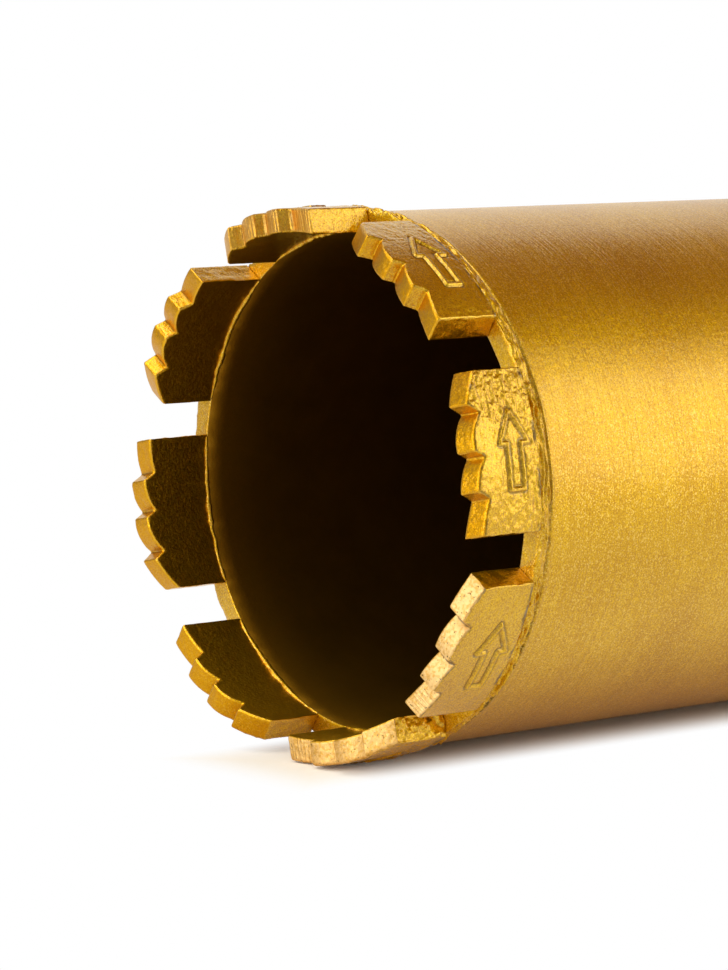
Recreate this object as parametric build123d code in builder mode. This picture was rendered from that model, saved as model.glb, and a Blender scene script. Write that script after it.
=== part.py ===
"""Diamond core bit, 82 mm: a steel barrel with eight toothed diamond segments
welded round its front rim, closed at the rear by an end plate with a threaded hub.

Frame: millimetres, +Z along the tool's axis towards the cutting end. The origin is
the centre of the hub's end face, on which the tool stands with its teeth up.
"""
from build123d import *
import math
import os

# ---- driving dimensions (mm) ----
barrel_diameter = 80.0         # steel tube, outside
barrel_wall = 2.7
overall_length = 370.0         # hub face to the highest tooth

segment_proud = 1.0            # segments past the tube, so that the bit cuts its own clearance
segment_length = 23.3          # between the two parallel ends
segment_height = 12.0          # rim to the highest crest
# How far each segment was welded from its even place round the rim, in degrees.
placement_errors = (1.0, -0.4, -0.9, 0.0, 1.1, 0.6, -0.6, -0.75)

weld_band_height = 2.6         # laser weld band at the front of the barrel
weld_band_proud = 0.75         # how far it swells past the barrel
weld_band_lean = 0.1           # and less of that near the groove
weld_groove = 0.25             # fine groove where the band ends
rim_bevel = 0.45               # melted edge between the band and the rim
root_bead_size = 0.35          # weld bead inside, along the foot of each segment

tooth_outer_bevel = 0.3        # outer edge of the teeth, worn off
tooth_inner_bevel = 0.2        # inner edge of the teeth

# Saw teeth along a segment, from its leading end to its tail: toe, middle of the
# flank, crest. First value along the segment from its middle, second above the rim.
teeth = (
    ((11.65, 9.1), (9.2, 10.75), (6.85, 11.85)),
    ((5.6, 9.95), (2.9, 11.7), (0.25, 12.0)),
    ((-0.65, 10.35), (-3.1, 11.65), (-5.45, 11.95)),
    ((-6.5, 10.05), (-9.1, 10.75), (-11.65, 11.05)),
)

plate_flange_thickness = 5.0   # closes the tube, full diameter
plate_spigot_depth = 5.0       # centres the plate in the tube
plate_weld_leg = 2.0           # bead over the joint of plate and tube, to each side
plate_weld_height = 0.7        # above the tube

hub_diameter = 48.0
hub_length = 36.0              # below the end plate
hub_spigot_diameter = 36.0     # passes through the plate
hub_weld_leg = 4.0             # fillet weld between hub and plate
wrench_flats = 41.0            # across the two flats
flat_start = 8.0               # above the hub's end face
flat_height = 20.0
thread_bore_diameter = 28.0    # 1-1/4"-7 UNC inside thread, at its minor diameter
thread_mouth_diameter = 33.0   # countersink at the mouth, past the major diameter
hub_edge_chamfer = 1.0

spigot_clearance = 0.1         # radial, plate in tube and hub in plate

# ---- derived sizes ----
barrel_radius = barrel_diameter / 2
bore_radius = barrel_radius - barrel_wall
segment_inner_radius = bore_radius          # the segments stand flush with the bore
segment_outer_radius = barrel_radius + segment_proud        # half the 82 mm hole
segment_pitch = 360 / len(placement_errors)
# Even places at half a pitch, so that a water gap lies on each of the X and Y axes.
segment_angles = [
    (number + 0.5) * segment_pitch + error
    for number, error in enumerate(placement_errors)
]
half_length = segment_length / 2

plate_bottom = hub_length
barrel_bottom = plate_bottom + plate_flange_thickness
plate_top = barrel_bottom + plate_spigot_depth
rim = overall_length - segment_height       # front face of the barrel
seam = rim - weld_band_height

foot_angle = math.degrees(2 * math.asin(half_length / bore_radius))
plate_hole_radius = hub_spigot_diameter / 2 + spigot_clearance
band_radius = barrel_radius + weld_band_proud


# ---- barrel ----
with BuildPart() as barrel:
    # Half section of the tube wall. Its front end carries the weld band, which
    # swells past the barrel from a fine groove and bevels over to the rim.
    with BuildSketch(Plane.XZ):
        with BuildLine():
            Polyline(
                (barrel_radius, barrel_bottom),
                (bore_radius, barrel_bottom),
                (bore_radius, rim),
                (band_radius - rim_bevel, rim),
                (band_radius, rim - rim_bevel),
                (band_radius - weld_band_lean, seam + 3 * weld_groove),
                (barrel_radius, seam + weld_groove),
                (barrel_radius - weld_groove, seam),
                (barrel_radius, seam - weld_groove),
                close=True,
            )
        make_face()
    revolve(axis=Axis.Z)
    # Weld root: a three-sided bead inside, only along the foot of each segment.
    with BuildSketch(Plane.XZ.rotated((0, 0, -foot_angle / 2))):
        with BuildLine():
            Polyline(
                (bore_radius, rim - root_bead_size),
                (bore_radius - root_bead_size, rim - root_bead_size / 2),
                (bore_radius - root_bead_size, rim + root_bead_size / 2),
                (bore_radius, rim + root_bead_size),
                close=True,
            )
        make_face()
    root_bead = revolve(axis=Axis.Z, revolution_arc=foot_angle, mode=Mode.PRIVATE)
    with Locations(*[Location((0, 0, 0), (0, 0, angle)) for angle in segment_angles]):
        add(root_bead)
barrel.part.label = "barrel"


# ---- diamond segments ----
def lies_on(edge, radius, tolerance=0.01):
    """True for an edge that follows the cylinder of that radius about the tool's axis."""
    points = (edge @ 0, edge @ 0.5, edge @ 1)
    return all(abs(math.hypot(point.X, point.Y) - radius) < tolerance for point in points)


def is_tooth_edge(edge, tolerance=0.01):
    """True for the edges in the upper half that run along the segment, not up its ends."""
    along = abs((edge @ 0).Y - (edge @ 1).Y)
    return edge.center().Z > rim + segment_height / 2 and along > tolerance


with BuildPart() as segment:
    # Plan: a piece of the ring, cut off by two parallel ends.
    with BuildSketch(Plane.XY.offset(rim)):
        Circle(segment_outer_radius)
        Circle(segment_inner_radius, mode=Mode.SUBTRACT)
        with Locations((segment_outer_radius, 0)):
            Rectangle(segment_outer_radius, segment_length, mode=Mode.INTERSECT)
    extrude(amount=segment_height)
    # Side view, looking at the axis: three saw teeth that rise to a crest and step
    # back down, and a tail ramp. The punch of the press works along the radius.
    with BuildSketch(Plane(origin=(0, 0, rim), x_dir=(0, 1, 0), z_dir=(1, 0, 0))):
        with BuildLine():
            foot = (half_length, 0)
            start = foot
            for toe, flank, crest in teeth:
                Line(start, toe)
                ThreePointArc(toe, flank, crest)
                start = crest
            Line(start, (-half_length, 0))
            Line((-half_length, 0), foot)
        make_face()
    extrude(amount=segment_outer_radius, mode=Mode.INTERSECT)
    for radius, bevel in (
        (segment_outer_radius, tooth_outer_bevel),
        (segment_inner_radius, tooth_inner_bevel),
    ):
        tooth_edges = segment.edges().filter_by(is_tooth_edge)
        chamfer(tooth_edges.filter_by(lambda edge: lies_on(edge, radius)), bevel)

segments = []
for number, angle in enumerate(segment_angles, start=1):
    with BuildPart() as placed_segment:
        add(segment.part.rotate(Axis.Z, angle))
    placed_segment.part.label = f"segment_{number}"
    segments.append(placed_segment)


# ---- end plate ----
with BuildPart() as end_plate:
    # Half section: a full-diameter flange, and a spigot that centres it in the tube.
    spigot_radius = bore_radius - spigot_clearance
    with BuildSketch(Plane.XZ):
        with BuildLine():
            Polyline(
                (plate_hole_radius, plate_bottom),
                (barrel_radius - hub_edge_chamfer, plate_bottom),
                (barrel_radius, plate_bottom + hub_edge_chamfer),
                (barrel_radius, barrel_bottom),
                (spigot_radius, barrel_bottom),
                (spigot_radius, plate_top),
                (plate_hole_radius, plate_top),
                close=True,
            )
        make_face()
        # Weld bead over the joint with the tube, outside the tube's own wall.
        with BuildLine():
            Polyline(
                (barrel_radius, barrel_bottom - plate_weld_leg),
                (barrel_radius + plate_weld_height, barrel_bottom - plate_weld_leg / 2),
                (barrel_radius + plate_weld_height, barrel_bottom + plate_weld_leg / 2),
                (barrel_radius, barrel_bottom + plate_weld_leg),
                close=True,
            )
        make_face()
        # Fillet weld round the hub.
        with BuildLine():
            Polyline(
                (hub_diameter / 2, plate_bottom),
                (hub_diameter / 2, plate_bottom - hub_weld_leg),
                (hub_diameter / 2 + hub_weld_leg, plate_bottom),
                close=True,
            )
        make_face()
    revolve(axis=Axis.Z)
end_plate.part.label = "end_plate"


# ---- threaded hub ----
with BuildPart() as threaded_hub:
    with BuildSketch():
        Circle(hub_diameter / 2)
    extrude(amount=hub_length)
    with BuildSketch(Plane.XY.offset(plate_bottom)):
        Circle(hub_spigot_diameter / 2)
    extrude(amount=plate_top - plate_bottom)
    outer_edges = threaded_hub.edges().filter_by(GeomType.CIRCLE)
    chamfer(outer_edges.group_by(Axis.Z)[0], hub_edge_chamfer)
    # Two milled wrench flats.
    with BuildSketch(Plane.XY.offset(flat_start)):
        Rectangle(2 * hub_diameter, 2 * hub_diameter)
        Rectangle(wrench_flats, 2 * hub_diameter, mode=Mode.SUBTRACT)
    extrude(amount=flat_height, mode=Mode.SUBTRACT)
    # Bore at the thread's minor diameter, countersunk where the spindle enters.
    with Locations(Plane.XY.rotated((180, 0, 0))):
        CounterSinkHole(thread_bore_diameter / 2, thread_mouth_diameter / 2, counter_sink_angle=90)
threaded_hub.part.label = "threaded_hub"


os.makedirs("parts", exist_ok=True)
for piece in [barrel, *segments, end_plate, threaded_hub]:
    export_step(piece.part, f"parts/{piece.part.label}.step")
    print(piece.part.label, round(piece.part.volume), "mm3")
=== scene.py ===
# %% [markdown]
# # A diamond core bit
# The bit is a thin steel tube with eight hard segments welded round its front rim. It is sprayed
# with gold metallic paint. At its rear a plate and a threaded hub close the tube.
# The solids come ready made, with their true sizes. This lesson dresses them: it makes the worn and
# welded skins that the solids are too plain for, mixes the paint, and sets up a small studio.

# %% Load the solids
import itertools
import math

import bmesh
import bpy
import numpy as np
from mathutils import Matrix, Vector


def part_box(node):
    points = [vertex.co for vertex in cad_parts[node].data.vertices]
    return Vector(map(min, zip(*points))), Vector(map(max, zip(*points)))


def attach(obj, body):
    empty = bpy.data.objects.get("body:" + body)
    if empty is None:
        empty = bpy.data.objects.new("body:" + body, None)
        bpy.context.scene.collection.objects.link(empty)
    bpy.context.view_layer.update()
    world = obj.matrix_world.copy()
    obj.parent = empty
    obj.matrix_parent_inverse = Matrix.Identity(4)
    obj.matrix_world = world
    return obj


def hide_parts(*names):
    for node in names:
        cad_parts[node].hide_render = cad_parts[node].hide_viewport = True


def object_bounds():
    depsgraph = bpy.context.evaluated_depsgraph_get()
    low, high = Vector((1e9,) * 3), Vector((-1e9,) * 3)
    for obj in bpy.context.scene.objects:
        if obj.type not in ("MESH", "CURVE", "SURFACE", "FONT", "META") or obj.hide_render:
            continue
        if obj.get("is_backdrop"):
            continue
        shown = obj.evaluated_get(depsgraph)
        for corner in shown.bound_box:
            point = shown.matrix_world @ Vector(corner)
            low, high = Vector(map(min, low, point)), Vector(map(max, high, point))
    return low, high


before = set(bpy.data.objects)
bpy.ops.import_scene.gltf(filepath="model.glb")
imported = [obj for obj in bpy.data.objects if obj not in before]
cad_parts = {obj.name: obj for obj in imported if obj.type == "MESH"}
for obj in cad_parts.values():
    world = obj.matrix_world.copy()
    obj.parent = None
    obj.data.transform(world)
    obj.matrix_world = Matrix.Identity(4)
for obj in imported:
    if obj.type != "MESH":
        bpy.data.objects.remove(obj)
cad_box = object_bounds()
print("solids:", ", ".join(sorted(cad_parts)))
print("box in mm:", [round(1000 * side) for side in cad_box[1] - cad_box[0]])

# %% [markdown]
# ## Sizes
# Nearly every place in this lesson hangs on two planes of the solids: the rim, which is the foot of
# the segments, and the hub's end face, on which the tool stands. Heights are read from the solids,
# so the skins stay in place if the tool is ever made longer. The radii are typed, because the weld
# stands out past the tube and a box would measure the weld. Blender works in metres, so `mm` turns
# a maker's millimetres into its units.

# %% Read the main sizes
mm = 0.001
segment_names = [f"segment_{number}" for number in range(1, 9)]
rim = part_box("segment_1")[0].z
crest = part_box("segment_1")[1].z
barrel_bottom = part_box("barrel")[0].z
plate_bottom, plate_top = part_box("end_plate")[0].z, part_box("end_plate")[1].z
barrel_radius = 40 * mm
bore_radius = 37.3 * mm
segment_radius = 41 * mm
weld_band = 2.6 * mm
seam = rim - weld_band
print(f"rim at {rim / mm:.1f} mm, crests at {crest / mm:.1f} mm")
print(f"tube from {barrel_bottom / mm:.1f} mm, end plate to {plate_top / mm:.1f} mm")

# %% [markdown]
# ## Directions
# The tool stands on its hub, but the view shows it lying on its side with its teeth to the left.
# Three unit vectors say so: `forward` runs along the tool to its teeth, `upward` is up in the view
# and `away` points from the viewer to the far side. `at` turns three lengths along them into a
# place, counted from the middle of the seam where the tube meets its weld.

# %% Name the directions
upward_angle = math.radians(9.985)
forward = Vector((0, 0, 1))
upward = Vector((math.cos(upward_angle), math.sin(upward_angle), 0))
away = forward.cross(upward)


def at(along, up, far):
    """A place in metres, from lengths in mm along the three directions from the seam's middle."""
    return Vector((0, 0, seam)) + mm * (along * forward + up * upward + far * away)


print("the seam's middle is", [round(value / mm, 1) for value in at(0, 0, 0)], "mm")

# %% [markdown]
# ## Camera
# A long lens from half a metre keeps the tube nearly parallel and still shows the ring of teeth as
# an ellipse. The camera swings round the tool by one angle and rises by another. Its own up follows
# `upward`, which rolls the standing tool onto its side in the view.

# %% Place the camera
lens, sensor = 144.8, 36.0
camera_distance = 580.6 * mm
camera_swing = math.radians(39.22)
camera_rise = math.radians(6.49)
aim = at(0.86, -0.6, 0.62)

look = (
    -math.cos(camera_rise) * math.sin(camera_swing) * forward
    - math.sin(camera_rise) * upward
    + math.cos(camera_rise) * math.cos(camera_swing) * away
)
look_right = look.cross(upward).normalized()
look_up = look_right.cross(look)
camera_data = bpy.data.cameras.new("camera")
camera_data.lens = lens
camera_data.sensor_width = sensor
camera = bpy.data.objects.new("camera", camera_data)
turn = Matrix((look_right, look_up, -look)).transposed()
camera.matrix_world = Matrix.Translation(aim - camera_distance * look) @ turn.to_4x4()
bpy.context.scene.collection.objects.link(camera)
bpy.context.scene.camera = camera
print("camera at", [round(value / mm) for value in camera.matrix_world.translation], "mm")

# %% [markdown]
# ## A short way to write node trees
# A material is a graph of nodes. Written out, each node takes a line to make it, one for each value
# and one for each wire. `Tree.node` does all of that in one call: an input that is itself an output
# socket becomes a wire. The other helpers name the nodes that are needed often.

# %% Helper for node trees
class Tree:
    """Builds nodes in the node tree of a material or a world."""

    def __init__(self, owner):
        owner.use_nodes = True
        self.tree = owner.node_tree
        self.tree.nodes.clear()

    def node(self, kind, inputs=None, **fields):
        """One node. Inputs are named or numbered, and each is a value or another node's output."""
        made = self.tree.nodes.new("ShaderNode" + kind)
        for field, value in fields.items():
            setattr(made, field, value)
        for name, value in (inputs or {}).items():
            socket = made.inputs[name]
            if isinstance(value, bpy.types.NodeSocket):
                self.tree.links.new(value, socket)
            else:
                socket.default_value = value
        return made

    def math(self, operation, first, second=0.0, third=None):
        """A sum on single values."""
        values = {0: first, 1: second}
        if third is not None:
            values[2] = third
        return self.node("Math", values, operation=operation).outputs[0]

    def vector(self, operation, first, second=(0, 0, 0), scale=None):
        """A sum on vectors that gives a vector."""
        values = {0: first, 1: second}
        if scale is not None:
            values["Scale"] = scale
        return self.node("VectorMath", values, operation=operation).outputs["Vector"]

    def ramp(self, value, low, high, out_low=0.0, out_high=1.0):
        """Maps value from low..high to out_low..out_high, with soft ends."""
        values = {"Value": value, 1: low, 2: high, 3: out_low, 4: out_high}
        return self.node("MapRange", values, interpolation_type="SMOOTHSTEP").outputs[0]

    def blend(self, share, first, second):
        """Mixes two colours. Share 0 gives the first."""
        return self.node("Mix", {0: share, 6: first, 7: second}, data_type="RGBA").outputs[2]

    def noise(self, place, scale, detail=2.0):
        """Smooth noise, 0 to 1. Its bumps are about one over the scale in size."""
        values = {"Vector": place, "Scale": scale, "Detail": detail}
        return self.node("TexNoise", values).outputs["Fac"]

    def position(self):
        """The place on the object, in metres."""
        return self.node("TexCoord").outputs["Object"]

    def attribute(self, name):
        """A vector that the mesh carries for each point."""
        return self.node("Attribute", attribute_name=name).outputs["Vector"]

    def parts(self, vector):
        """The three parts of a vector."""
        return self.node("SeparateXYZ", {0: vector}).outputs[:]

    def finish(self, shader, kind="Material"):
        """Wires a shader to the output."""
        self.node("Output" + kind, {"Surface": shader})


def new_material(name):
    """A material and the tree to build it on."""
    material = bpy.data.materials.new(name)
    return material, Tree(material)


def linear(red, green, blue):
    """A colour given as it looks on a screen, 0 to 255, as the light values that shaders use."""
    parts = [value / 255 for value in (red, green, blue)]
    parts = [p / 12.92 if p <= 0.04045 else ((p + 0.055) / 1.055) ** 2.4 for p in parts]
    return (*parts, 1.0)


print("helper ready; mid grey is", round(linear(128, 128, 128)[0], 3), "in light")

# %% [markdown]
# ## The studio
# The ground is paper. Away from the tool, and in front of its teeth, it is plain white in what the
# camera and the metal see. Beside the tool it takes its shade and the light it throws down, and its
# warm tint there is a painted reflection of the gold. It is seen from its front only, so it never
# hides the tool from a camera behind it.

# %% Mix the paper
shade_end, white_start, mirror_start = 41.2 * mm, 45 * mm, 64 * mm
front_start, front_end = crest + 1 * mm, crest + 14 * mm
# Cream beside the tool: a painted reflection of the gold's warm light on the paper.
painted_bounce_cream, painted_bounce_pale = linear(250, 240, 222), linear(252, 244, 230)
plain_white = (1, 1, 1, 1)


def paper_material():
    """Paper with a painted warm reflection of the gold near the tool's axis, plain white away, clear
    from behind.
    """
    material, t = new_material("white_paper")
    position = t.position()
    flat = t.vector("MULTIPLY", position, (1, 1, 0))
    from_axis = t.node("VectorMath", {0: flat}, operation="LENGTH").outputs["Value"]
    in_front = t.ramp(t.parts(position)[2], front_start, front_end)
    # For the camera the white glow fades in from 41.2 to 45 mm off the axis: painted light over the
    # outer part of the tool's shadow, which sets where the seen shadow ends.
    white_seen = t.math("MAXIMUM", in_front, t.ramp(from_axis, shade_end, white_start))
    # In reflections the glow fades in only from 41.2 to 64 mm, so the metal mirrors the paper's real
    # shade over a wider strip than the camera shows.
    white_mirrored = t.math("MAXIMUM", in_front, t.ramp(from_axis, shade_end, mirror_start))
    path = t.node("LightPath").outputs
    mirrored = t.math("MAXIMUM", path["Is Glossy Ray"], path["Is Transmission Ray"])
    white_seen = t.math("MULTIPLY", path["Is Camera Ray"], white_seen)
    white = t.math("MAXIMUM", white_seen, t.math("MULTIPLY", mirrored, white_mirrored))
    tint = t.blend(t.noise(position, 900.0), painted_bounce_cream, painted_bounce_pale)
    diffuse = t.node("BsdfDiffuse", {"Color": tint, "Roughness": 1.0}).outputs[0]
    glow = t.node("Emission", {"Color": plain_white, "Strength": 1.0}).outputs[0]
    lit = t.node("MixShader", {0: white, 1: diffuse, 2: glow}).outputs[0]
    behind = t.node("NewGeometry").outputs["Backfacing"]
    clear = t.node("BsdfTransparent").outputs[0]
    t.finish(t.node("MixShader", {0: behind, 1: lit, 2: clear}).outputs[0])
    return material


paper = paper_material()
print("paper mixed, white from", round(white_start / mm), "mm off the axis")

# %% [markdown]
# The tool stands on a floor of this paper. A second sheet stands beside it, a hair off the segments:
# turned with the camera, it is the table top on which the bit seems to lie, and it catches the soft
# shadow. Both are large: their sizes are in metres.

# %% Lay the floor and the side sheet
def sheet_of(name, material, middle, across, along):
    """A flat sheet about a middle, spanned by two half sides. Its front is their cross product."""
    corners = [middle + i * across + j * along for i, j in ((-1, -1), (1, -1), (1, 1), (-1, 1))]
    mesh = bpy.data.meshes.new(name)
    mesh.from_pydata([tuple(corner) for corner in corners], [], [(0, 1, 2, 3)])
    mesh.materials.append(material)
    made = bpy.data.objects.new(name, mesh)
    bpy.context.scene.collection.objects.link(made)
    made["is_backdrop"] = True
    return made


half_side = 30
sheet_of("floor", paper, Vector(), Vector((half_side, 0, 0)), Vector((0, half_side, 0)))
sheet_gap = 0.15 * mm
sheet_height, sheet_half_width = 0.75, 1.2
touch = -(segment_radius + sheet_gap)
side_middle = touch * upward + Vector((0, 0, sheet_height / 2))
sheet_of("side_sheet", paper, side_middle, sheet_half_width * away, sheet_height / 2 * forward)
print("floor and side sheet made, the sheet", round(sheet_gap / mm, 2), "mm off the segments")

# %% [markdown]
# ## Light
# Metal shows its surroundings, so the lamps are placed for what they look like in the metal. A wide
# soft box on the viewer's right makes the broad satin band along the tube. A second one in front of
# the teeth lights their flanks, and a third hangs above.

# %% Lamps
def soft_box(name, place, target, width, height, watts):
    """A rectangular lamp at a place, turned to a target. Its width and height are in metres."""
    data = bpy.data.lights.new(name, "AREA")
    data.shape = "RECTANGLE"
    data.size, data.size_y = width, height
    data.energy = watts
    lamp = bpy.data.objects.new(name, data)
    lamp.location = place
    lamp.rotation_mode = "QUATERNION"
    lamp.rotation_quaternion = (target - place).to_track_quat("-Z", "Y")
    lamp.visible_camera = False
    bpy.context.scene.collection.objects.link(lamp)


soft_box("side_box", at(-290, 126, -330), at(-50, 0, -40), width=0.28, height=0.24, watts=0.39)
soft_box("front_box", at(620, 190, 60), at(-40, 0, 0), width=0.5, height=0.5, watts=2.4)
soft_box("top_box", at(160, 620, 120), at(0, -40, 0), width=0.5, height=0.5, watts=2.6)
print("lamps in watts:", {lamp.name: round(lamp.energy, 2) for lamp in bpy.data.lights})

# %% [markdown]
# A brown card over the tube gives the gold its dark, rich band between the lamp's reflection and the
# pale one of the far room: a grey card would take the band's colour away, and a black one its
# light. The room itself is plain grey.

# %% Card and room
card_dark, card_light = linear(138, 101, 28), linear(154, 114, 36)
room_light = 0.4


def card_material():
    """Matt brown card with a faint fibre."""
    material, t = new_material("brown_card")
    tint = t.blend(t.noise(t.position(), 400.0), card_dark, card_light)
    t.finish(t.node("BsdfDiffuse", {"Color": tint}).outputs[0])
    return material


card_middle = at(-150, 190, -25)
card = sheet_of("brown_card_over", card_material(), card_middle, 0.11 * away, 0.19 * forward)
card.visible_camera = False
card.visible_diffuse = False
card.visible_shadow = False

world = bpy.data.worlds.new("room")
bpy.context.scene.world = world
t = Tree(world)
room = t.node("Background", {"Color": plain_white, "Strength": room_light})
t.finish(room.outputs[0], "World")
bpy.context.scene.view_settings.view_transform = "Standard"
print("card over the tube, room at", room_light)

# %% [markdown]
# ## Random, but the same each time
# Welds and castings are uneven. `soft_noise` gives smooth random values: it looks up a block of
# random numbers and blends between neighbours, so bumps have the size it is told. The seed makes
# each call repeatable.

# %% Smooth random values
lattice_size = 32


def soft_noise(points, size, seed):
    """Smooth random values, about -1 to 1, at points in mm, with bumps about `size` mm across."""
    lattice = np.random.default_rng(seed).uniform(-1, 1, (lattice_size,) * 3)
    scaled = points / np.asarray(size)
    cell = np.floor(scaled).astype(int)
    part = scaled - cell
    part = part * part * (3 - 2 * part)
    total = np.zeros(points.shape[:-1])
    for corner in itertools.product((0, 1), repeat=3):
        weight = np.prod(np.where(corner, part, 1 - part), axis=-1)
        index = (cell + corner) % lattice_size
        total += weight * lattice[index[..., 0], index[..., 1], index[..., 2]]
    return total


def smooth_step(values, low, high):
    """0 below low, 1 above high, and a soft rise between."""
    share = np.clip((values - low) / (high - low), 0, 1)
    return share * share * (3 - 2 * share)


sample = soft_noise(np.random.default_rng(1).uniform(0, 50, (1000, 3)), 2.0, 5)
print("noise from", round(sample.min(), 2), "to", round(sample.max(), 2))

# %% [markdown]
# ## Where each segment stands
# The segments were set by hand before welding, so they are not quite evenly spaced. Each one's
# angle is read from its solid: the foot that stands on the rim is the same to both sides of its
# middle.

# %% Measure the segments' angles
def points_of(mesh):
    """The vertices of a mesh as rows of mm."""
    flat = np.zeros(len(mesh.vertices) * 3, np.float32)
    mesh.vertices.foreach_get("co", flat)
    return flat.reshape(-1, 3).astype(float) / mm


def foot_angles(name):
    """Lowest and highest angle of a segment's foot, in radians, with no jump between them."""
    points = points_of(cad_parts[name].data)
    foot = points[points[:, 2] < rim / mm + 0.01]
    middle = math.atan2(foot[:, 1].mean(), foot[:, 0].mean())
    turned = np.arctan2(foot[:, 1], foot[:, 0]) - middle
    turned = (turned + math.pi) % (2 * math.pi) - math.pi
    return middle + turned.min(), middle + turned.max()


segment_span = {name: foot_angles(name) for name in segment_names}
segment_angle = {name: sum(span) / 2 for name, span in segment_span.items()}
print({name: round(math.degrees(angle), 1) for name, angle in segment_angle.items()})

# %% [markdown]
# ## Making a piece from points and faces
# Every skin ends as one mesh object in metres, at the origin, with smooth shading. It also carries
# `place`, a vector in millimetres for each point. On a segment it is counted along it, above its
# foot and outward, so that grinding lines follow it whichever way it is turned. A skin may not grow
# past the solids, so its points are held inside their box.

# %% Build a piece and attach it to the root body
def make_piece(name, points, faces, place, materials, face_material=None, zones=None):
    """A mesh object from points in mm. Each face takes the material that its number names."""
    mesh = bpy.data.meshes.new(name)
    inside_box = np.clip(points * mm, np.array(cad_box[0]), np.array(cad_box[1]))
    mesh.from_pydata(inside_box.tolist(), [], faces)
    for material in materials:
        mesh.materials.append(material)
    if face_material is not None:
        mesh.polygons.foreach_set("material_index", face_material)
    mesh.polygons.foreach_set("use_smooth", [True] * len(faces))
    for attribute, vectors in (("place", place), ("zones", zones)):
        if vectors is not None:
            layer = mesh.attributes.new(attribute, "FLOAT_VECTOR", "POINT")
            layer.data.foreach_set("vector", vectors.ravel())
    mesh.update()
    made = bpy.data.objects.new(name, mesh)
    bpy.context.scene.collection.objects.link(made)
    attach(made, "root")
    triangles = sum(len(face) - 2 for face in faces)
    print(f"{name}: {len(points)} points, {triangles} triangles")
    return made


print("pieces are held inside", [round(side / mm, 1) for side in cad_box[1]], "mm")

# %% [markdown]
# The turned skins, the beads and the thread are all rows of points that run round. A ring closes on
# itself both ways, and a tube has two ends that need caps. A shell that came out inside out is
# turned round, because a face has a front and a back.

# %% Faces of rings and tubes
def ring_faces(rows, steps, first=0, closed=True):
    """Four-sided faces of rows of points that run round. Closed, the last row meets the first."""
    faces = []
    for row, step in itertools.product(range(rows if closed else rows - 1), range(steps)):
        next_row, next_step = (row + 1) % rows, (step + 1) % steps
        corners = (row, step), (row, next_step), (next_row, next_step), (next_row, step)
        faces.append(tuple(first + i * steps + j for i, j in corners))
    return faces


def tube_faces(rows, sides, first=0):
    """Faces of a tube of rows of points, with a cap on each of its two ends."""
    last = first + (rows - 1) * sides
    caps = [tuple(range(first, first + sides))[::-1], tuple(range(last, last + sides))]
    return ring_faces(rows, sides, first, closed=False) + caps


def outward(points, faces):
    """The faces of one closed shell, turned round if they face inward."""
    volume = 0.0
    for face in faces:
        corners = points[list(face)]
        for k in range(1, len(face) - 1):
            volume += np.dot(corners[0], np.cross(corners[k], corners[k + 1]))
    return faces if volume > 0 else [face[::-1] for face in faces]


print("a 3 x 4 ring has", len(ring_faces(3, 4)), "faces, a capped tube", len(tube_faces(3, 4)))

# %% [markdown]
# ## Gold metallic paint
# The paint is a tinted varnish full of tiny aluminium flakes. Each flake lies at its own small
# angle, which gives the fine sparkle, and the varnish on top adds a weak white shine. So the
# metal's normal is tilted at random in cells the size of a flake, and the shader's coat stays
# smooth. Metal turns its light paler at grazing angles by itself, which gives the tube its silvery
# upper edge.

# %% Mix the paint
flake_size = 0.18 * mm
flake_tilt = 0.2
varnish_roughness = 0.16
cloud_scale, spray_scale = 60.0, 4600.0
gold_deep = linear(191, 136, 0)
gold_light = linear(234, 187, 18)
gold_glint = linear(255, 222, 118)


def paint(t, place, tone, relief, roughness, tilt=flake_tilt, coat=0.5, glints=0.4):
    """Metallic paint of a tone over a relief in mm, on the tree t. Returns the shader."""
    flakes = t.node("TexVoronoi", {"Vector": place, "Scale": 1 / flake_size}).outputs["Color"]
    # A share of the flakes is tinted pale: a painted glint, on top of the sparkle that their tilt
    # gives.
    tone = t.blend(t.ramp(t.parts(flakes)[0], 0.8, 0.92, 0.0, glints), tone, gold_glint)
    lean = t.vector("SUBTRACT", flakes, (0.5, 0.5, 0.5))
    lean = t.vector("SCALE", lean, scale=tilt)
    bump = t.node("Bump", {"Height": relief, "Distance": mm, "Strength": 1.0}).outputs[0]
    shader = {
        "Base Color": tone,
        "Metallic": 1.0,
        "Roughness": roughness,
        "Normal": t.vector("NORMALIZE", t.vector("ADD", bump, lean)),
        "Coat Weight": coat,
        "Coat Roughness": varnish_roughness,
        "Coat Normal": bump,
    }
    return t.node("BsdfPrincipled", shader).outputs[0]


def spray(t, place):
    """The paint's tone: cloudy where the spray lies thicker, with a fine grain."""
    cloud = t.noise(place, cloud_scale, 3.0)
    grain = t.noise(place, spray_scale, 1.0)
    share = t.math("MULTIPLY_ADD", grain, 0.72, t.math("MULTIPLY", cloud, 0.28))
    return t.blend(t.ramp(share, 0.32, 0.68), gold_deep, gold_light)


print("gold, deep and light:", [tuple(round(c, 2) for c in g[:3]) for g in (gold_deep, gold_light)])

# %% [markdown]
# ## Paint on the barrel
# The tube was turned, and faint rings from the tool show through the paint: noise that is stretched
# far round the tube and very little along it. The paint is a little darker in the groove at the
# weld. Inside, hardly any paint reached the wall: it fades within about a centimetre into stained
# brown steel.

# %% Materials of the barrel
ring_stretch = (30.0, 30.0, 2400.0)
groove_dark = linear(92, 72, 8)
bore_dark, bore_light, bore_mist = linear(124, 90, 18), linear(158, 116, 26), linear(176, 128, 28)


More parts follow.
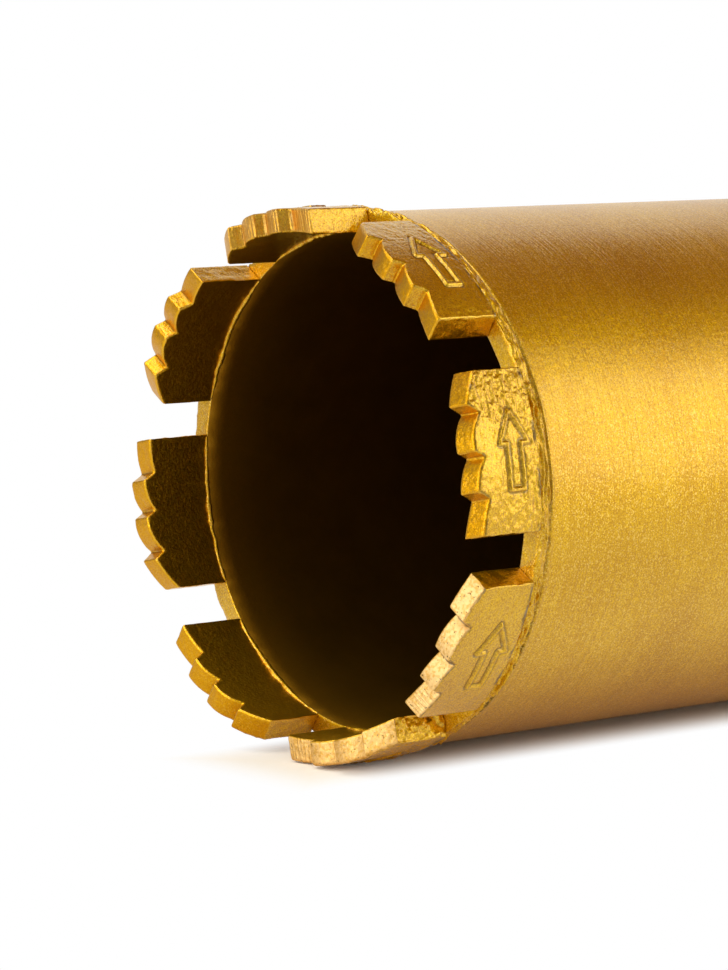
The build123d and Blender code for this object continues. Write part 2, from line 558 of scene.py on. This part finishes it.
def barrel_gold_material():
    """Paint over turning rings, darker in a broken line in the groove at the seam."""
    material, t = new_material("barrel_gold")
    position = t.position()
    rings = t.noise(t.vector("MULTIPLY", position, ring_stretch), 1.0)
    skin = t.noise(position, 1400.0)
    relief = t.math("MULTIPLY_ADD", rings, 0.08, t.math("MULTIPLY", skin, 0.03))
    from_seam = t.math("ABSOLUTE", t.math("SUBTRACT", t.parts(position)[2], seam))
    # The paint is darker along the groove at the seam, broken up by noise.
    groove = t.ramp(from_seam, 0.15 * mm, 0.45 * mm, 1.0, 0.0)
    groove = t.math("MULTIPLY", groove, t.ramp(skin, 0.3, 0.6))
    fades = t.ramp(t.noise(position, 38.0), 0.4, 0.62, 0.3, 0.9)
    turned = t.blend(t.ramp(rings, 0.42, 0.62, 0.0, 0.3), spray(t, position), gold_deep)
    tone = t.blend(t.math("MULTIPLY", groove, fades), turned, groove_dark)
    t.finish(paint(t, position, tone, relief, 0.45))
    return material


def bore_brown_material():
    """Stained steel inside the tube, under a mist of paint that fades away from the rim."""
    material, t = new_material("bore_brown")
    position = t.position()
    mist = t.ramp(t.parts(position)[2], rim - 12 * mm, rim - 0.3 * mm)
    steel = t.blend(t.noise(position, 120.0, 4.0), bore_dark, bore_light)
    tone = t.blend(mist, steel, bore_mist)
    relief = t.math("MULTIPLY", t.noise(position, 1100.0, 3.0), 0.02)
    t.finish(paint(t, position, tone, relief, 0.5, tilt=0.1, coat=0.1, glints=0.0))
    return material


barrel_gold, bore_brown = barrel_gold_material(), bore_brown_material()
print("barrel materials:", barrel_gold.name, "and", bore_brown.name)

# %% [markdown]
# ## The barrel's skin
# The solid barrel is a clean revolved shape. The real one has a laser weld round its front: a band
# that stands a little proud, ends in a fine groove, and is covered with ripples and small lumps.
# The skin is turned again from the same section, in rows close enough to carry them. Far from the
# weld the rows are wide apart, because a plain tube needs no more.

# %% Turn a section
def round_axis(radius, angle, height):
    """Points at a radius and an angle round the tool's axis, and at a height."""
    return np.stack([radius * np.cos(angle), radius * np.sin(angle), height], axis=-1)


def lathe(section, steps, relief):
    """Points, in mm, of a closed section [(radius, height), ...] turned and moved by its relief."""
    section = np.array(section)
    angle = np.broadcast_to(np.arange(steps) * 2 * math.pi / steps, (len(section), steps))
    radius = np.repeat(section[:, :1], steps, axis=1)
    height = np.repeat(section[:, 1:], steps, axis=1)
    radius, height = relief(radius, height, angle)
    return round_axis(radius, angle, height)


def fine(section, steps):
    """The corners of a section with steps[i] equal parts between corner i and the next."""
    parts = []
    for i, count in enumerate(steps):
        start, end = np.array(section[i]), np.array(section[(i + 1) % len(section)])
        parts += [tuple(start + (end - start) * k / count) for k in range(count)]
    return parts


rim_mm, seam_mm, foot_mm = rim / mm, seam / mm, barrel_bottom / mm
tube_r, bore_r = barrel_radius / mm, bore_radius / mm
band_proud, groove_depth = 0.75, 0.3
band_r = tube_r + band_proud
barrel_corners = [
    (tube_r, foot_mm),
    (tube_r, seam_mm - 1.2),
    (tube_r, seam_mm - groove_depth),
    (tube_r - groove_depth, seam_mm),
    (tube_r, seam_mm + groove_depth),
    (band_r - 0.15, seam_mm + 0.75),
    (band_r, rim_mm - 0.5),
    (band_r - 0.15, rim_mm - 0.13),
    (band_r - 0.5, rim_mm),
    (bore_r + 0.12, rim_mm),
    (bore_r, rim_mm - 0.12),
    (bore_r, rim_mm - 30),
    (bore_r, foot_mm),
]
barrel_section = fine(barrel_corners, [4, 6, 3, 3, 5, 12, 3, 3, 12, 2, 10, 4, 1])
print("the barrel's section has", len(barrel_section), "points")

# %% [markdown]
# The weld runs round in fine ripples, with lumps where metal spattered, and some stretches are
# rougher than others. The groove below it is uneven too, and the rim's face is a little wavy.

# %% Turn the barrel
barrel_steps = 1000
ripple_pitch = 0.75
outside_start, outside_end = 38.6, 39.6


def weld_relief(radius, height, angle):
    """Ripples, lumps and an uneven groove on the weld band. The rest stays as it was turned."""
    points = round_axis(radius, angle, height)
    outside = smooth_step(radius, outside_start, outside_end)
    band = outside * smooth_step(height, seam_mm - 0.2, seam_mm + 0.5)
    near = outside * smooth_step(height, seam_mm - 1.0, seam_mm - 0.1)
    wander = soft_noise(points, 3.0, 11) * 0.3
    ripple = np.sin((height + wander) * 2 * math.pi / ripple_pitch)
    rough = 1.0 + 0.9 * smooth_step(soft_noise(points, 11.0, 18), -0.4, 0.4)
    push = 0.17 * ripple * (0.6 + soft_noise(points, 3.0, 12))
    push += 0.26 * soft_noise(points, (2.0, 2.0, 0.6), 13) + 0.1 * soft_noise(points, 0.55, 14)
    lumps = 0.5 * np.clip(soft_noise(points, 0.9, 15) - 0.45, 0, 1)
    wobble = soft_noise(points, 5.0, 16) + 0.3 * soft_noise(points, 0.8, 19) + 0.3
    groove = 0.2 * near * (1 - band) * wobble
    face = (1 - outside) * smooth_step(height, rim_mm - 0.1, rim_mm - 0.02)
    lift = 0.05 * soft_noise(points, 1.0, 17) * face
    return radius + band * rough * (push + lumps - 0.14) + groove, height + lift


barrel_points = lathe(barrel_section, barrel_steps, weld_relief)
print("turned in", barrel_steps, "steps:", barrel_points.shape[0] * barrel_steps, "points")

# %% [markdown]
# Along the foot of each segment the weld came through inside as an uneven bead. It is made as a
# bent tube that grows and shrinks by noise, sunk half into the wall.

# %% Weld beads inside
bead_size, bead_rows, bead_sides = 0.42, 110, 8


def tube_along(path, sizes, sides):
    """Points of a tube round a path in mm, with a size for each point of the path."""
    along = np.gradient(path, axis=0)
    along /= np.linalg.norm(along, axis=1, keepdims=True)
    lift = np.array([0, 0, 1.0]) - along * along[:, 2:]
    lift /= np.linalg.norm(lift, axis=1, keepdims=True)
    side = np.cross(along, lift)
    turn = (np.arange(sides) * 2 * math.pi / sides)[None, :, None]
    spokes = np.cos(turn) * lift[:, None] + np.sin(turn) * side[:, None]
    return path[:, None] + spokes * sizes[:, None, None]


def root_bead(name, seed):
    """The bead inside, along the foot of one segment. It closes to almost nothing at both ends."""
    low, high = segment_span[name]
    angle = np.linspace(low + 0.01, high - 0.01, bead_rows)
    ends = np.sin(np.linspace(0.02, math.pi - 0.02, bead_rows)) ** 0.25
    flat = np.stack([angle * bore_r, angle * 0, angle * 0], axis=-1)
    swell = 0.12 * soft_noise(flat, 1.2, seed) + 0.08 * soft_noise(flat, 0.5, seed)
    radius = bore_r + 0.03 + 0.06 * soft_noise(flat, 2.0, seed + 1)
    height = rim_mm - 0.02 + 0.15 * soft_noise(flat, 1.8, seed + 2)
    return tube_along(round_axis(radius, angle, height), (bead_size + swell) * ends, bead_sides)


beads = [root_bead(name, 3 * seed) for seed, name in enumerate(segment_names, start=40)]
print(len(beads), "beads of", bead_rows, "x", bead_sides, "points")

# %% [markdown]
# The barrel and its beads become one mesh with two materials, each bead a closed shell of its own.
# The faces inside the tube are bare brown steel. The beads and the last fraction of a millimetre
# below the rim caught the paint.

# %% Join the barrel
def joined(parts):
    """The points and faces of several closed shells, counted through."""
    all_points, all_faces, first = [], [], 0
    for points, faces in parts:
        rows = points.reshape(-1, 3)
        all_points.append(rows)
        all_faces += [tuple(first + index for index in face) for face in outward(rows, faces)]
        first += len(rows)
    return np.concatenate(all_points), all_faces


tube_shell = (barrel_points, ring_faces(*barrel_points.shape[:2]))
bead_shells = [(bead, tube_faces(*bead.shape[:2])) for bead in beads]
points, faces = joined([tube_shell, *bead_shells])
middles = np.array([points[list(face)].mean(axis=0) for face in faces])
bare = np.hypot(middles[:, 0], middles[:, 1]) < bore_r + 0.05
bare &= middles[:, 2] < rim_mm - 0.15
bare[len(tube_shell[1]):] = False
materials = [barrel_gold, bore_brown]
barrel_skin = make_piece("barrel_skin", points, faces, points, materials, bare.astype(int).tolist())
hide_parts("barrel")

# %% [markdown]
# ## Paint on the segments
# The same paint went over the segments, but their faces differ. The outer face is rough sintered
# metal, the teeth are smoother, and some were touched on a grinding wheel, which left fine lines
# across them and a paler, speckled gold that is partly a painted highlight. The paint is darker in
# the corners at the foot of each step, in a thin line along the teeth and beside the arrow, and
# sharp edges are paler, partly worn and partly a painted highlight. The inner faces got only a
# cloudy mist. Each point carries `zones` for this, a second vector that says how much it is
# darkened, tooth top and paler edge.

# %% Layers of the segments' paint
grinding_stretch = (2500.0, 300.0, 160.0)
tooth_gold, ground_and_sheen_gold = linear(206, 138, 4), linear(248, 212, 146)
mist_dark, mist_light = linear(206, 150, 10), linear(240, 186, 22)
worn_and_sheen_gold = linear(240, 196, 84)
dark_brown, dark_grey = linear(84, 58, 12), linear(96, 92, 86)


def segment_relief(t, place, grain, top, lines_from):
    """Fine grain, and grinding lines on the tooth tops from a place in mm to the tail."""
    lines = t.noise(t.vector("MULTIPLY", place, grinding_stretch), 1.0)
    along = t.parts(place)[0]
    ground = t.ramp(along, (lines_from - 0.2) * mm, (lines_from + 0.2) * mm, 1.0, 0.0)
    ground = t.math("MULTIPLY", ground, top)
    relief = t.math("MULTIPLY", grain, t.ramp(top, 0.0, 1.0, 0.08, 0.035))
    return t.math("MULTIPLY_ADD", t.math("MULTIPLY", lines, ground), 0.3, relief)


def segment_tone(t, place, grain, top, wear_and_sheen, pale):
    """Gold, deeper on tooth tops, paler where ground and by a painted highlight, cloudy on the inner
    face.
    """
    tone = t.blend(t.math("MULTIPLY", top, 0.6), spray(t, t.position()), tooth_gold)
    # The pale gold on ground tooth tops is partly real grinding, partly a painted highlight.
    share = t.math("MULTIPLY", t.math("MULTIPLY", top, pale), t.ramp(grain, 0.36, 0.56, 0.45, 1.0))
    tone = t.blend(share, tone, ground_and_sheen_gold)
    inner = t.ramp(t.parts(place)[2], 0.05 * mm, 0.35 * mm, 1.0, 0.0)
    tone = t.blend(inner, tone, t.blend(t.noise(place, 260.0, 4.0), mist_dark, mist_light))
    # Sharp edges are blended paler: partly wear, partly a painted highlight.
    return t.blend(t.math("MULTIPLY", wear_and_sheen, 0.15), tone, worn_and_sheen_gold)


def with_darkening(t, tone, place, darkening, top, pale):
    """The tone darkened in noisy patches along the given mask, and dark specks on the ground tooth
    tops.
    """
    specks = t.ramp(t.noise(place, 2300.0, 1.0), 0.68, 0.74)
    specks = t.math("MULTIPLY", top, t.math("MULTIPLY", specks, pale))
    # Darker brown and grey where the mask is high: in corners, along the teeth, beside the arrow and
    # at the foot.
    patches = t.ramp(t.noise(place, 700.0), 0.3, 0.5, 0.35, 0.95)
    share = t.math("MAXIMUM", t.math("MULTIPLY", darkening, patches), specks)
    grey = t.ramp(t.noise(place, 450.0), 0.5, 0.62)
    return t.blend(share, tone, t.blend(grey, dark_brown, dark_grey))


print("grinding lines, width to length: 1 to", round(grinding_stretch[0] / grinding_stretch[2]))

# %% [markdown]
# Four mixtures of these layers are enough. Most teeth are as cast, one set was ground lightly all
# over, and two were ground pale, with lines on the last tooth only; that pale gold is partly a
# painted highlight. The varnish is thin on the tooth tops, and the paler they were ground, the
# rougher they are.

# %% Mix the segments' paint
def segment_material(name, lines_from, pale):
    """Paint over one segment, ground by that share, with grinding lines from a place in mm."""
    material, t = new_material(name)
    place = t.vector("SCALE", t.attribute("place"), scale=mm)
    darkening, top, wear_and_sheen = t.parts(t.attribute("zones"))
    grain = t.noise(place, 1900.0, 3.0)
    relief = segment_relief(t, place, grain, top, lines_from)
    tone = segment_tone(t, place, grain, top, wear_and_sheen, pale)
    tone = with_darkening(t, tone, place, darkening, top, pale)
    varnish = t.ramp(top, 0.0, 1.0, 0.7, 0.1)
    roughness = t.ramp(top, 0.0, 1.0, 0.4, 0.4 + 0.2 * pale) if pale else 0.4
    position = t.position()
    t.finish(paint(t, position, tone, relief, roughness, tilt=0.16, coat=varnish, glints=0.1))
    return material


nowhere, everywhere, last_tooth = -20.0, 20.0, -6.6
segment_paints = {
    "cast": segment_material("segment_gold", nowhere, 0.0),
    "ground": segment_material("segment_gold_ground", everywhere, 0.2),
    "touched": segment_material("segment_gold_touched", last_tooth, 0.6),
    "dressed": segment_material("segment_gold_dressed", last_tooth, 0.85),
}
print("segment materials mixed:", ", ".join(segment_paints))

# %% [markdown]
# ## One segment, remeshed
# The solid segment has true planes and corners. Pressed and sintered metal under paint has not: its
# corners are a little round and its faces a little uneven. A voxel remesh of the solid gives even,
# closed, four-sided faces everywhere, and a light smoothing rounds the corners by about a quarter
# of a millimetre. All eight are the same pressing, so this is done once, for the first, turned back
# so that its middle lies on X.

# %% Remesh the first segment
voxel = 0.165 * mm


def turned_back(name, angle):
    """A working copy of a solid as one welded mesh, turned back by the angle."""
    source = bmesh.new()
    source.from_mesh(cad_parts[name].data)
    bmesh.ops.remove_doubles(source, verts=source.verts, dist=0.001 * mm)
    bmesh.ops.rotate(source, verts=source.verts, matrix=Matrix.Rotation(-angle, 3, "Z"))
    mesh = bpy.data.meshes.new("work")
    corners = [vertex.co[:] for vertex in source.verts]
    mesh.from_pydata(corners, [], [[v.index for v in face.verts] for face in source.faces])
    source.free()
    work = bpy.data.objects.new("work", mesh)
    bpy.context.scene.collection.objects.link(work)
    return work


def remeshed(work):
    """Points in mm, faces and normals of a working copy after a voxel remesh. It is used up."""
    remesh = work.modifiers.new("remesh", "REMESH")
    remesh.mode, remesh.voxel_size = "VOXEL", voxel
    smooth = work.modifiers.new("smooth", "SMOOTH")
    smooth.factor, smooth.iterations = 0.5, 4
    evaluated = work.evaluated_get(bpy.context.evaluated_depsgraph_get())
    result = bpy.data.meshes.new_from_object(evaluated)
    faces = [tuple(face.vertices) for face in result.polygons]
    normals = np.zeros(len(result.vertices) * 3, np.float32)
    result.vertex_normals.foreach_get("vector", normals)
    bpy.data.objects.remove(work)
    return points_of(result), faces, normals.reshape(-1, 3).astype(float)


first_segment = turned_back("segment_1", segment_angle["segment_1"])
base_points, base_faces, base_normals = remeshed(first_segment)
print(len(base_points), "points; length", round(np.ptp(base_points[:, 1]), 2), "mm")

# %% [markdown]
# Each point is then compared with the average of its neighbours: where they lie above it, it is in
# a corner, where the paint is made darker, and where they lie below, on an edge, where it is made
# paler, partly as wear and partly as a painted highlight.

# %% Find corners and edges
def neighbour_average(values, faces):
    """For each point, the average of the values of the points that share an edge with it."""
    quads = np.array(faces)
    total = np.zeros_like(values)
    count = np.zeros(len(values))
    for here, there in itertools.permutations(range(4), 2):
        if abs(here - there) != 2:
            np.add.at(total, quads[:, here], values[quads[:, there]])
            np.add.at(count, quads[:, here], 1)
    return total / (count[:, None] if values.ndim > 1 else count)


hollow = neighbour_average(base_points, base_faces) - base_points
hollow = (hollow * base_normals).sum(axis=1) * mm / voxel
for _ in range(2):
    hollow = neighbour_average(hollow, base_faces)
print("hollow from", round(hollow.min(), 3), "to", round(hollow.max(), 3))

# %% [markdown]
# ## An arrow on each segment
# A raised outline stands on the outer face of each segment, near its foot. Here it is a plain arrow
# that points the way the bit turns. In the press it is a groove in the punch, so it belongs to the
# casting itself: points near its line are lifted, and points just beside it sink a little.

# %% Draw the arrow and measure from it
arrow_half_length, shaft_half_width, head_half_width = 5.6, 1.25, 2.7
arrow_neck, arrow_height = 0.9, 4.3
arrow = [
    (-arrow_half_length, arrow_height - shaft_half_width),
    (arrow_neck, arrow_height - shaft_half_width),
    (arrow_neck, arrow_height - head_half_width),
    (arrow_half_length, arrow_height),
    (arrow_neck, arrow_height + head_half_width),
    (arrow_neck, arrow_height + shaft_half_width),
    (-arrow_half_length, arrow_height + shaft_half_width),
]
outer_r = segment_radius / mm
half_length = np.abs(base_points[:, 1]).max()


def distance_to(points, line):
    """Shortest distance in mm from each flat point to a line of closely set points."""
    gaps = points[:, None, :] - line[None, :, :]
    return np.sqrt((gaps**2).sum(axis=2).min(axis=1))


def spaced(corners, closed=True, step=0.12):
    """Points every `step` mm along the line through the corners."""
    line = []
    for i in range(len(corners) if closed else len(corners) - 1):
        start, end = np.array(corners[i]), np.array(corners[(i + 1) % len(corners)])
        count = max(1, round(math.dist(start, end) / step))
        line += [start + (end - start) * k / count for k in range(count)]
    return np.array(line)


face_points = np.c_[base_points[:, 1], base_points[:, 2] - rim_mm]
base_radius = np.hypot(base_points[:, 0], base_points[:, 1])
outward_share = (base_normals[:, :2] * base_points[:, :2]).sum(axis=1) / base_radius
on_outer = outward_share > 0.5
far_off = 9.0
from_arrow = np.full(len(base_points), far_off)
from_arrow[on_outer] = distance_to(face_points[on_outer], spaced(arrow))
arrow_line = 1 - smooth_step(from_arrow, 0.16, 0.36)
arrow_moat = smooth_step(from_arrow, 0.26, 0.44) * (1 - smooth_step(from_arrow, 0.5, 0.8))
arrow_relief = 0.28 * arrow_line - 0.14 * arrow_moat
print("points on the outer face:", on_outer.sum(), "raised by the arrow:", (arrow_relief > 0).sum())

# %% [markdown]
# The dark line along the teeth follows their outline, just below it. The outline is measured:
# the highest outer point in each narrow strip across the segment.

# %% Measure the teeth's outline
strips = np.linspace(-half_length + 0.1, half_length - 0.1, 100)
strip_of = np.digitize(face_points[:, 0], strips)
strip_tops = [face_points[on_outer & (strip_of == i), 1].max() for i in range(1, len(strips))]
outline = list(zip((strips[1:] + strips[:-1]) / 2, strip_tops))
from_teeth = np.full(len(base_points), far_off)
from_teeth[on_outer] = distance_to(face_points[on_outer], spaced(outline, closed=False))
print("teeth from", round(min(strip_tops), 2), "to", round(max(strip_tops), 2), "mm above the rim")

# %% [markdown]
# ## Eight segments, eight castings
# Each segment takes the remeshed points and moves them by its own noise. The outer face gets lumps,
# wrinkles along it near its leading end, and fine ripples just above the weld. The table gives the
# strengths for each: its outer face, its leading end, the dark line along its teeth and the
# darkening in its corners. On two the teeth have worn to a slope, lower outside than inside: `lean`
# says by how many mm.

# %% Relief of a casting
castings = {
    "segment_1": dict(face=0.7, lead=1.2, line=0.4, corner=0.4, lean=0.0, paint="ground"),
    "segment_2": dict(face=0.5, lead=0.8, line=0.3, corner=0.3, lean=0.0, paint="cast"),
    "segment_3": dict(face=0.9, lead=0.6, line=0.7, corner=0.3, lean=0.0, paint="cast"),
    "segment_4": dict(face=0.7, lead=0.6, line=0.5, corner=0.3, lean=0.0, paint="cast"),
    "segment_5": dict(face=1.0, lead=3.0, line=0.5, corner=0.9, lean=0.0, paint="touched"),
    "segment_6": dict(face=0.3, lead=0.7, line=0.8, corner=0.9, lean=0.0, paint="dressed"),
    "segment_7": dict(face=1.3, lead=0.8, line=0.8, corner=0.1, lean=0.5, paint="cast"),
    "segment_8": dict(face=0.4, lead=0.7, line=0.3, corner=0.1, lean=0.2, paint="cast"),
}
tail_roughness = 0.6
noise_place = np.c_[face_points, base_radius]


def face_relief(seed):
    """Lumps, wrinkles and ripples of the outer face in mm, calmer near all but the first tooth."""
    along, height = face_points.T
    lumps = 0.08 * soft_noise(noise_place, 1.1, seed)
    lumps += 0.06 * soft_noise(noise_place, 0.5, seed + 1)
    crust = 0.12 * soft_noise(noise_place, (1.3, 0.34, 2.0), seed + 2)
    crust += 0.06 * soft_noise(noise_place, 0.33, seed + 11)
    patches = smooth_step(soft_noise(noise_place, 4.5, seed + 3), -0.2, 0.5)
    wrinkles = crust * smooth_step(along, 1.0, 6.0)
    ripples = crust * np.maximum(smooth_step(-height, -3.6, -1.0), 0.5 * patches)
    calm = 1 - 0.6 * smooth_step(height, 6.0, 9.0) * (along < 5)
    return calm * (lumps + np.where(wrinkles**2 > ripples**2, wrinkles, ripples) - 0.04)


def casting_relief(face, lead, seed):
    """How far each point stands out, in mm, for that roughness of outer face and leading end."""
    outer = smooth_step(outward_share, 0.75, 0.95)
    ends = smooth_step(np.abs(base_normals[:, 1]), 0.8, 0.95)
    tops = smooth_step(base_normals[:, 2], 0.5, 0.8)
    push = outer * (face * face_relief(seed) + arrow_relief)
    rough_end = 0.12 * soft_noise(noise_place, 1.3, seed + 5)
    rough_end += 0.05 * soft_noise(noise_place, 0.5, seed + 8)
    push += ends * np.where(face_points[:, 0] > 0, lead, tail_roughness) * (rough_end - 0.03)
    push += 0.02 * soft_noise(noise_place, 0.9, seed + 6) - 0.03 * outer - 0.02 * tops
    return push + 0.025 * tops * soft_noise(noise_place, 0.5, seed + 7)


print("roughest outer face:", max(castings, key=lambda name: castings[name]["face"]))

# %% [markdown]
# The zones come from what was measured: the distances from the teeth's outline and the arrow, the
# height above the foot and how hollow each place is. Noise breaks every line up, because a dark
# line that is the same all along looks drawn.

# %% Zones of dirt and wear
def casting_zones(line_strength, corner_strength, seed):
    """Darkening, tooth top and paler edge for each point, each 0 to 1."""
    height = face_points[:, 1]
    wobble = 0.2 * soft_noise(noise_place, 0.9, seed + 9)
    line = 1 - smooth_step(np.abs(from_teeth - 0.2 + 0.4 * wobble), 0.03, 0.2)
    line *= line_strength * smooth_step(soft_noise(noise_place, 0.7, seed + 12), -0.3, 0.3)
    beside_arrow = 1 - smooth_step(np.abs(from_arrow - 0.5), 0.08, 0.24)
    at_foot = 1 - smooth_step(height + wobble, 0.3, 0.7)
    at_foot *= smooth_step(soft_noise(noise_place, 1.6, seed + 13), -0.1, 0.4)
    seams = np.maximum.reduce([0.9 * line, 0.6 * beside_arrow, 0.8 * at_foot]) * on_outer
    above_foot = smooth_step(height, 0.5, 1.5)
    # Hollow corners above the foot are marked for darker paint.
    corner = smooth_step(hollow, 0.005, 0.03) * above_foot
    darkening = np.maximum(seams, corner_strength * corner)
    # Sharp edges are marked for paler paint: partly wear, partly a painted highlight.
    wear_and_sheen = smooth_step(-hollow, 0.03, 0.1)
    wear_and_sheen *= smooth_step(soft_noise(noise_place, 0.8, seed + 10), -0.7, 0.2)
    tops = smooth_step(base_normals[:, 2], 0.35, 0.7)
    return np.stack([darkening, tops, wear_and_sheen * above_foot], axis=-1)


print("points in corners:", (hollow > 0.03).sum(), "and on edges:", (hollow < -0.03).sum())

# %% [markdown]
# The points are pushed out along their normals, and the worn teeth are lowered. `place` is counted
# before the segment turns to its own angle, so it means the same on all eight.

# %% Dress the segments
def dress_segment(name, seed):
    """The skin of one segment."""
    casting = castings[name]
    push = casting_relief(casting["face"], casting["lead"], seed)
    points = base_points + base_normals * push[:, None]
    outer_share = (base_radius - bore_r) / (outer_r - bore_r)
    points[:, 2] -= casting["lean"] * outer_share * smooth_step(face_points[:, 1], 5.5, 9.5)
    out = np.hypot(points[:, 0], points[:, 1]) - bore_r
    place = np.c_[points[:, 1], points[:, 2] - rim_mm, out]
    cos, sin = math.cos(segment_angle[name]), math.sin(segment_angle[name])
    points = points @ np.array([[cos, sin, 0], [-sin, cos, 0], [0, 0, 1]])
    zones = casting_zones(casting["line"], casting["corner"], seed)
    materials = [segment_paints[casting["paint"]]]
    made = make_piece(name + "_casting", points, base_faces, place, materials, zones=zones)
    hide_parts(name)


for seed, name in enumerate(segment_names, start=1):
    dress_segment(name, 100 * seed)

# %% [markdown]
# ## The rear
# The end plate and the hub were turned and then welded by hand, so their two weld beads have the
# scales of a row of overlapping puddles. The plate is turned again from its section, and the beads'
# radius goes up and down with the scales.

# %% Turn the end plate
plate_low, plate_high = plate_bottom / mm, plate_top / mm
hub_r, hole_r = 24.0, 18.1
fillet, bead_rise = 4.0, 0.7
plate_steps = 800
scales_over_joint, scales_round_hub = 130, 80
plate_corners = [
    (hole_r, plate_low),
    (hub_r - 0.3, plate_low),
    (hub_r - 0.3, plate_low - fillet),
    (hub_r + 0.35 * fillet, plate_low - 0.8 * fillet),
    (hub_r + 0.8 * fillet, plate_low - 0.35 * fillet),
    (hub_r + fillet, plate_low),
    (tube_r - 1.0, plate_low),
    (tube_r, plate_low + 1.0),
    (tube_r, foot_mm - 2.0),
    (tube_r + bead_rise, foot_mm - 1.2),
    (tube_r + bead_rise, foot_mm + 1.2),
    (tube_r - 0.1, foot_mm + 2.0),
    (tube_r - 0.1, foot_mm),
    (bore_r - 0.1, foot_mm),
    (bore_r - 0.1, plate_high),
    (hole_r, plate_high),
]
plate_section = fine(plate_corners, [1, 1, 4, 4, 4, 6, 2, 3, 5, 8, 5, 1, 2, 3, 8, 4])


def scales(radius, height, angle):
    """The scales of the two hand-made weld beads."""
    points = round_axis(radius, angle, height)
    over_joint = smooth_step(radius, tube_r - 0.05, tube_r + 0.3)
    round_hub = smooth_step(-radius, -hub_r - fillet, -hub_r)
    round_hub *= smooth_step(-height, -plate_low, 0.5 - plate_low)
    wander = 0.3 * soft_noise(points, 3.0, 31)
    bow = 0.25 * (height - foot_mm) ** 2
    joint_scales = np.abs(np.sin(scales_over_joint * angle / 2 + wander + bow))
    hub_scales = np.abs(np.sin(scales_round_hub * angle / 2 + wander))
    rough = 0.08 * soft_noise(points, 1.3, 32)
    push = over_joint * (0.22 * joint_scales - 0.2 + rough)
    push += round_hub * (0.5 * hub_scales - 0.45 + rough)
    return radius + push, height


plate_points = lathe(plate_section, plate_steps, scales)
points = plate_points.reshape(-1, 3)
plate_faces = outward(points, ring_faces(*plate_points.shape[:2]))
plate_skin = make_piece("end_plate_skin", points, plate_faces, points, [barrel_gold])
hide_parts("end_plate")

# %% [markdown]
# The hub keeps its solid, which has the right shape, and gets bare turned steel: fine rings round
# it and a little gold overspray near the plate.

# %% Steel of the hub
hub_ring_stretch = (60.0, 60.0, 5200.0)
steel_dark, steel_light = linear(148, 145, 140), linear(176, 173, 168)
overspray_start = 22 * mm


def hub_steel_material():
    """Turned steel, with a cloudy edge of gold overspray towards the plate."""
    material, t = new_material("hub_steel")
    position = t.position()
    rings = t.noise(t.vector("MULTIPLY", position, hub_ring_stretch), 1.0)
    cloud = t.noise(position, 90.0, 4.0)
    steel = t.blend(cloud, steel_dark, steel_light)
    height = t.math("MULTIPLY_ADD", cloud, 8 * mm, t.parts(position)[2])
    tone = t.blend(t.ramp(height, overspray_start, plate_bottom), steel, gold_deep)
    relief = t.math("MULTIPLY_ADD", rings, 0.012, t.math("MULTIPLY", cloud, 0.01))
    t.finish(paint(t, position, tone, relief, 0.36, tilt=0.08, coat=0.1, glints=0.0))
    return material


hub_steel = hub_steel_material()
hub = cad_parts["threaded_hub"]
hub.data.materials.clear()
hub.data.materials.append(hub_steel)
print("the hub keeps its solid of", len(hub.data.polygons), "faces, in", hub_steel.name)

# %% [markdown]
# The hub's bore is smooth in the solid, so the thread is added here: one ridge wound round the
# bore, seven turns to the inch. It has a wide root sunk in the wall and a narrow crest, and it runs
# out to almost nothing at both ends.

# %% Wind the thread
thread_pitch = 25.4 / 7
thread_bore, thread_start, thread_end = 14.0, 4.0, 34.0
root_depth, crest_height = 0.35, 0.75
root_half_width, crest_half_width = 1.2, 0.25
points_per_turn, run_out = 72, 1.5
ridge = [
    (root_depth, -root_half_width),
    (-crest_height, -crest_half_width),
    (-crest_height, crest_half_width),
    (root_depth, root_half_width),
]
turns = (thread_end - thread_start) / thread_pitch
wind = np.linspace(0, turns * 2 * math.pi, int(turns * points_per_turn))
taper = np.clip(np.minimum(wind, wind[-1] - wind) / run_out, 0.02, 1)[:, None]
deep, high = np.array(ridge).T
out = thread_bore + root_depth + (deep - root_depth) * taper
rise = thread_start + wind[:, None] * thread_pitch / (2 * math.pi) + high
thread_rows = round_axis(out, wind[:, None], rise)
points = thread_rows.reshape(-1, 3)
thread_faces = outward(points, tube_faces(*thread_rows.shape[:2]))
thread = make_piece("hub_thread", points, thread_faces, points, [hub_steel])

# %% [markdown]
# ## The boxes at the end
# The skins must stay within the solids' own box, so both boxes are printed side by side.

# %% Print both boxes
skin_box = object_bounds()
for side, solid, skin in zip("xyz", cad_box[1] - cad_box[0], skin_box[1] - skin_box[0]):
    print(f"{side}: solids {solid / mm:.2f} mm, skins {skin / mm:.2f} mm")
